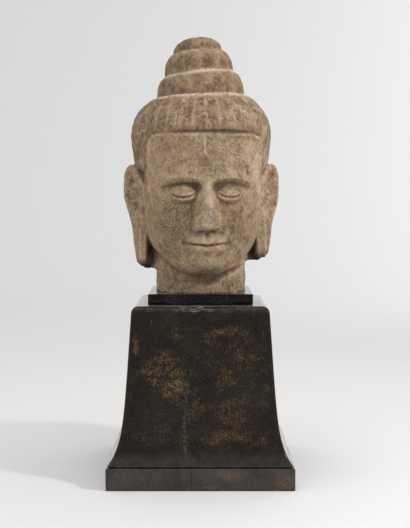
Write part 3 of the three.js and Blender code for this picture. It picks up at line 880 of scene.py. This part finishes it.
def worn_sandstone():
    """Fine brown sandstone: grains, rusty and olive clouds, a pale web and pale crusting, lichen and bare
    rubs, with painted highlights on lit ledges and ridges and painted shade in hollows.
    """
    finish = Finish("worn_sandstone")
    clouds = finish.grain((17, 17, 17), detail=3.0)
    blotches = finish.grain((90, 90, 75), detail=4.0, roughness=0.65)
    speckle = finish.grain((270, 270, 210), detail=3.0, roughness=0.7)
    grains = finish.grain((640, 640, 640), detail=2.0, roughness=0.7)
    tone = finish.times(blotches, 0.40)
    for finer, share in ((speckle, 0.36), (grains, 0.24)):
        tone = finish.maths("ADD", tone, finish.times(finer, share))
    light = finish.mix(finish.step(clouds, 0.42, 0.60), *light_stone)
    dark = finish.mix(finish.step(clouds, 0.42, 0.60), *dark_stone)
    stone = finish.mix(finish.step(tone, 0.36, 0.64), dark, light)
    warm = finish.times(finish.mark("warm"), finish.step(tone, 0.40, 0.60, 0.35, 0.75))
    stone = finish.mix(warm, stone, warm_stone)
    olive = finish.times(finish.mark("olive"), finish.step(tone, 0.42, 0.58, 0.50, 0.32))
    stone = finish.mix(olive, stone, olive_stone)
    stains = finish.step(finish.grain((62, 62, 44), detail=4.0), 0.42, 0.64, 0.0, 0.9)
    stains = finish.times(stains, finish.mark("webbed"))
    stone = finish.mix(stains, stone, stain_shade, "MULTIPLY")
    scores = finish.step(finish.grain((50, 50, 480), (0.08, 0, 0), detail=2.0), 0.56, 0.66)
    scores = finish.times(finish.mark("scored"), scores)
    stone = finish.mix(scores, stone, score_tan)
    pocks = finish.step(finish.grain((420, 420, 420), detail=1.0), 0.64, 0.72)
    stone = finish.mix(finish.times(pocks, 0.55), stone, pock_brown)
    flecks = finish.step(finish.grain((380, 380, 300), (0.3, 0.5, 0), detail=1.0), 0.69, 0.76)
    stone = finish.mix(finish.times(flecks, 0.6), stone, fleck_tan)
    web = finish.nodes.new("ShaderNodeTexVoronoi")
    web.feature = "DISTANCE_TO_EDGE"
    web.inputs["Scale"].default_value = 1.0
    bends = finish.nodes.new("ShaderNodeTexNoise")
    bends.inputs["Scale"].default_value = 2.6
    bends.inputs["Detail"].default_value = 4.0
    finish.feed(bends.inputs["Vector"], finish.stretch(vein_mesh))
    bent = finish.mix(0.3, finish.stretch(vein_mesh), bends.outputs["Color"])
    finish.feed(web.inputs["Vector"], bent)
    lines = finish.step(web.outputs["Distance"], 0.01, 0.075, 1.0, 0.0)
    lines = finish.times(lines, finish.step(finish.grain((60, 60, 60), detail=2.0), 0.46, 0.66))
    lines = finish.times(lines, finish.mark("webbed"))
    stone = finish.mix(finish.times(lines, 0.7), stone, vein_tan)
    # Pale tan: crusting on the plait partings, ear ridges, cracks and neck foot, and painted highlight on the
    # ring ledges, the hair-edge ridge, the break's edge and the lit temple.
    crust_and_highlight = finish.times(finish.mark("crust_and_highlight"), finish.step(speckle, 0.35, 0.6, 0.3, 0.95))
    stone = finish.mix(crust_and_highlight, stone, crust_and_highlight_tan)
    bare = finish.times(finish.mark("bare"), finish.step(speckle, 0.35, 0.6, 0.35, 0.85))
    stone = finish.mix(bare, stone, bare_stone)
    mossy = finish.times(finish.mark("moss"), finish.step(speckle, 0.36, 0.60, 0.25, 0.9))
    lichen = finish.mix(finish.step(grains, 0.44, 0.60), lichen_dark, lichen_light)
    stone = finish.mix(mossy, stone, lichen)
    # Darkened where marked: age on the lobes, cap, rings and hem, partly painted shade on the cap, rings and
    # right cheek, and painted shade on the neck under the chin.
    stone = finish.mix(finish.mark("age_and_shade"), stone, age_shade, "MULTIPLY")
    # Dark brown in hollows, partly grime and partly painted shade, with painted shadow under the chin and
    # above the neck break and painted shade in the groove at the hair's edge.
    stone = finish.mix(finish.times(finish.mark("sunk"), 0.8), stone, grime_and_shade_brown)
    proud = finish.times(finish.mark("proud"), finish.step(speckle, 0.35, 0.6, 0.15, 0.6))
    stone = finish.mix(proud, stone, proud_stone)
    # Near black at the lobes' broken lower ends, and as painted shade in the deep hollow between each lobe
    # and the jaw.
    lobe_dark_and_shade = finish.times(finish.mark("lobe_dark_and_shade"), finish.step(blotches, 0.3, 0.6, 0.7, 1.0))
    stone = finish.mix(lobe_dark_and_shade, stone, lobe_dark_and_shade_black)
    finish.feed(finish.shader.inputs["Base Color"], stone)
    finish.shader.inputs["Roughness"].default_value = 0.92
    finish.shader.inputs["Specular IOR Level"].default_value = 0.2
    finish.relief(finish.maths("ADD", grains, speckle), 0.6, 0.5 * mm)
    return finish.material


work_on(carved_head)
bpy.ops.object.shade_smooth()
head_places = points_of(carved_head)
local = on_head(head_places)
across, back, up = local.T
front = ramp(-back, 10, 50)
sunk = hollows_of(carved_head, rounds=1)
sunk_wide = hollows_of(carved_head, rounds=50)
cap_edge = from_hair_edge(across, up)
on_cap = np.maximum(ramp(cap_edge, 0, 3) * ramp(up, 395, 420), ramp(back, 0, 25) * ramp(up, 335, 370))
on_rings = ramp(up, ring_feet[0] - 4, ring_feet[0] + 4)
patchy = mottle(head_places, 28 * mm, 61)
mark_points(carved_head, "proud", np.maximum(ramp(-sunk, 0.03, 0.22), 0.5 * ramp(-sunk_wide, 0.5, 2.5)))
mark_points(carved_head, "webbed", np.maximum(on_cap, 0.3 * ramp(up, 405, 440)))
on_brow = ramp(-cap_edge, 2, 8) * ramp(up, brow, brow + 14) * front
mark_points(carved_head, "scored", 0.3 * on_brow)
_, parting, edge_ridge, edge_groove = carve_hair(across, back, up)
# Hollows are darkened, partly as grime and partly as painted shade.
grime_and_shade = np.maximum(ramp(sunk, 0.05, 0.30), 0.8 * ramp(sunk_wide, 0.2, 2.2))
under_chin = bell(across - 2, 24) * bell(up - 274, 9) * ramp(-back, 20, 40)
below, on_break = neck_break(across, back, up)
# The chin's cast shadow on the neck is painted, and kept off the lit facet of the neck break.
chin_shadow = 0.75 * under_chin * (1 - ramp(below, -1, 1) * on_break)
# A painted shadow band lies just above the edge of the neck break.
break_shadow = 0.7 * on_break * bell(below + 3, 2.4)
grime_and_shade = np.maximum.reduce([grime_and_shade, chin_shadow, break_shadow])
# Each ring's ledge is painted pale as a highlight where it faces the light.
ledge = np.clip(carve_rings(across, back, up)[1] * (1.0 + 0.6 * patchy), 0, 1)
# The groove along the hair's edge is painted dark as shade, and the lit ring ledges are kept clear.
mark_points(carved_head, "sunk", np.maximum(grime_and_shade * (1 - 0.7 * ledge), 0.9 * ramp(edge_groove, 0.4, 2.6)))
cracked = carve_cracks(across + 1.2, back, up)
ear_ridges = carve_ears(across, back, up, head_places)[1]
# A painted highlight along the lit edge of the neck break's facet.
break_highlight = on_break * (0.05 * ramp(below, 0, 2) + 0.35 * bell(below - 1.2, 1.2))
pale_foot = (0.3 + 0.5 * patchy) * (1 - ramp(up, neck_foot + 1, neck_foot + 5)) * front
# A painted highlight on the lit temple at the right edge of the face.
temple_highlight = 0.4 * bell(across - 70, 8) * bell(up - 410, 34) * (0.8 + 0.5 * patchy)
# The ridge along the hair's edge is painted pale as a highlight; the partings, ear ridges, cracks and neck
# foot are pale crusting.
crust_and_highlight = [ledge, 0.4 * parting * (1 + patchy), 0.55 * edge_ridge, 0.5 * ear_ridges, 0.8 * cracked]
mark_points(carved_head, "crust_and_highlight", np.maximum.reduce(crust_and_highlight + [break_highlight, pale_foot, temple_highlight]))
nose_rub = bell(across - 2, 6) * ramp(up, nose_base - 4, nose_base + 8)
nose_rub = nose_rub * (1 - ramp(up, brow - 8, brow + 10))
lip_rub = bell(across - 2, 20) * bell(up - mouth - 9, 6)
mark_points(carved_head, "bare", np.maximum(0.8 * nose_rub, 0.6 * lip_rub) * ramp(-back, 80, 92))
mark_points(carved_head, "moss", 1.35 * moss(local))
forehead = bell(across - 4, 28) * bell(up - 430, 22) * front
mark_points(carved_head, "olive", np.maximum(0.6 * forehead, 0.5 * ramp(patchy, 0.0, 0.6) * on_cap))
temple = ramp(-across, 30, 70) * ramp(up, 340, 410) * ramp(-cap_edge, 0, 4)
on_lobe = ramp(np.abs(across), 68, 74) * (1 - ramp(up, ear_waist - 10, ear_waist + 6))
hem = bell(cap_edge - 7, 4.5) * ramp(up, 450, 464) * ramp(-back, 40, 60)
warm = np.maximum.reduce([temple, 0.5 * on_rings, 0.9 * on_lobe * (across < 0), 0.7 * hem])
mark_points(carved_head, "warm", warm * (0.8 + 0.4 * patchy))
# The neck below the chin is darkened, as painted shade under the chin, and darker still towards its right
# side.
on_neck = 1 - ramp(up, chin - 12, chin + 4)
# The rings are darkened partly by age and partly as painted shade, the upper rings most.
ring_age_and_shade = 0.68 + 0.27 * ramp(up, 535, 560)
neck_age_and_shade = 0.5 + 0.5 * ramp(across, 5, 30)
# A darker patch on the right cheek, partly weathering and partly painted shade.
dusky_cheek = bell(across - 42, 22) * bell(up - 345, 32) * front
age_and_shade = [0.45 * on_lobe, 0.5 * on_cap, ring_age_and_shade * on_rings, neck_age_and_shade * on_neck, 0.9 * dusky_cheek, 0.95 * hem]
mark_points(carved_head, "age_and_shade", (np.maximum.reduce(age_and_shade) + 0.2 * patchy) * (1 - 0.9 * ledge))
lobe_low = ear_sizes(across)[3]
# The lobes' broken lower ends are darkened.
lobe_break = (1 - ramp(up, lobe_low + 6, lobe_low + 20)) * ramp(np.abs(across), 67, 71)
along, above = ear_places(across, back)
# Painted shade fills the deep hollow between each lobe and the jaw.
recess_shade = ramp(-above, 1.5, 6) * ramp(along, -16, -10) * (1 - ramp(along, 2, 6)) * bell(up - 305, 18)
mark_points(carved_head, "lobe_dark_and_shade", np.maximum(lobe_break, recess_shade * ramp(np.abs(across), 62, 68)))
carved_head.data.materials.append(worn_sandstone())
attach(carved_head, "root")
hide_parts("stone_head")


# Studio
# A wide pale floor that sweeps up all round into a wall, so that no corner shows behind the work.
# A small lamp lights the work from the upper right, weak wide ones from the left and above, and one the wall.
floor_radius = 2.2
sweep_radius = 1.6
wall_height = 2.2
floor_sides = 128
sweep_steps = 16
floor_grey = (0.79, 0.785, 0.785, 1)
room_strength = 0.83
bpy.ops.object.select_all(action="DESELECT")
bpy.ops.mesh.primitive_circle_add(
    vertices=floor_sides, radius=floor_radius, fill_type="NGON", location=(0, 0, 0))
floor = bpy.context.object
floor.name = floor.data.name = "studio_floor"
bpy.ops.object.mode_set(mode="EDIT")
bpy.ops.mesh.select_mode(type="EDGE")
bpy.ops.mesh.select_all(action="SELECT")
bpy.ops.mesh.region_to_loop()
last_radius = floor_radius
last_height = 0.0
sweep = [(floor_radius + sweep_radius * math.sin(t), sweep_radius * (1 - math.cos(t)))
         for t in np.linspace(0, math.pi / 2, sweep_steps + 1)[1:]]
for radius, height in sweep + [(floor_radius + sweep_radius, wall_height)]:
    bpy.ops.mesh.extrude_edges_move(TRANSFORM_OT_translate={"value": (0, 0, height - last_height)})
    share = radius / last_radius
    bpy.ops.transform.resize(value=(share, share, 1), center_override=(0, 0, height))
    last_radius = radius
    last_height = height
bpy.ops.mesh.select_all(action="SELECT")
bpy.ops.mesh.normals_make_consistent(inside=True)
bpy.ops.object.mode_set(mode="OBJECT")
bpy.ops.object.shade_smooth_by_angle(angle=smooth_below)
pale = bpy.data.materials.new("pale_floor")
pale.use_nodes = True
for name, setting in (("Base Color", floor_grey), ("Roughness", 0.9), ("Specular IOR Level", 0.1)):
    pale.node_tree.nodes["Principled BSDF"].inputs[name].default_value = setting
floor.data.materials.append(pale)

room = bpy.data.worlds.new("pale_room")
room.use_nodes = True
for name, setting in (("Color", (1.0, 1.0, 1.0, 1)), ("Strength", room_strength)):
    room.node_tree.nodes["Background"].inputs[name].default_value = setting
bpy.context.scene.world = room


def soft_light(name, place, aim, width, watts, colour):
    bpy.ops.object.light_add(type="AREA", location=place)
    light = bpy.context.object
    light.name = name
    light.data.size = width
    light.data.energy = watts
    light.data.color = colour
    light.rotation_euler = (Vector(aim) - Vector(place)).to_track_quat("-Z", "Y").to_euler()


warm_white = (1.0, 0.97, 0.93)
plain_white = (1.0, 1.0, 1.0)
cool_white = (0.97, 0.98, 1.0)
soft_light("key_light", (1.15, -0.62, 1.05), aim=(0, 0, 0.35), width=0.14, watts=10.2, colour=warm_white)
soft_light("fill_light", (-1.1, -1.1, 1.6), aim=(-0.15, -0.1, 0.1), width=1.2, watts=2.6, colour=plain_white)
soft_light("top_light", (-0.1, -0.45, 2.1), aim=(-0.1, -0.35, 0), width=1.0, watts=5.2, colour=plain_white)
soft_light("wall_light", (2.0, 1.7, 1.7), aim=(2.0, 3.8, 1.0), width=1.0, watts=22, colour=cool_white)

# Camera
# It stands level with the face, about 1.4 m away, and is tipped down a little to take in the pedestal.
camera_place = (6 * mm, -1400 * mm, 372 * mm)
camera_tilt = math.radians(-3.47)
camera_lens = 68.4
camera_film = 36.0
bpy.ops.object.camera_add(location=camera_place, rotation=(math.pi / 2 + camera_tilt, 0, 0))
camera = bpy.context.object
camera.data.lens = camera_lens
camera.data.sensor_width = camera_film
bpy.context.scene.camera = camera
bpy.context.scene.view_settings.view_transform = "Standard"
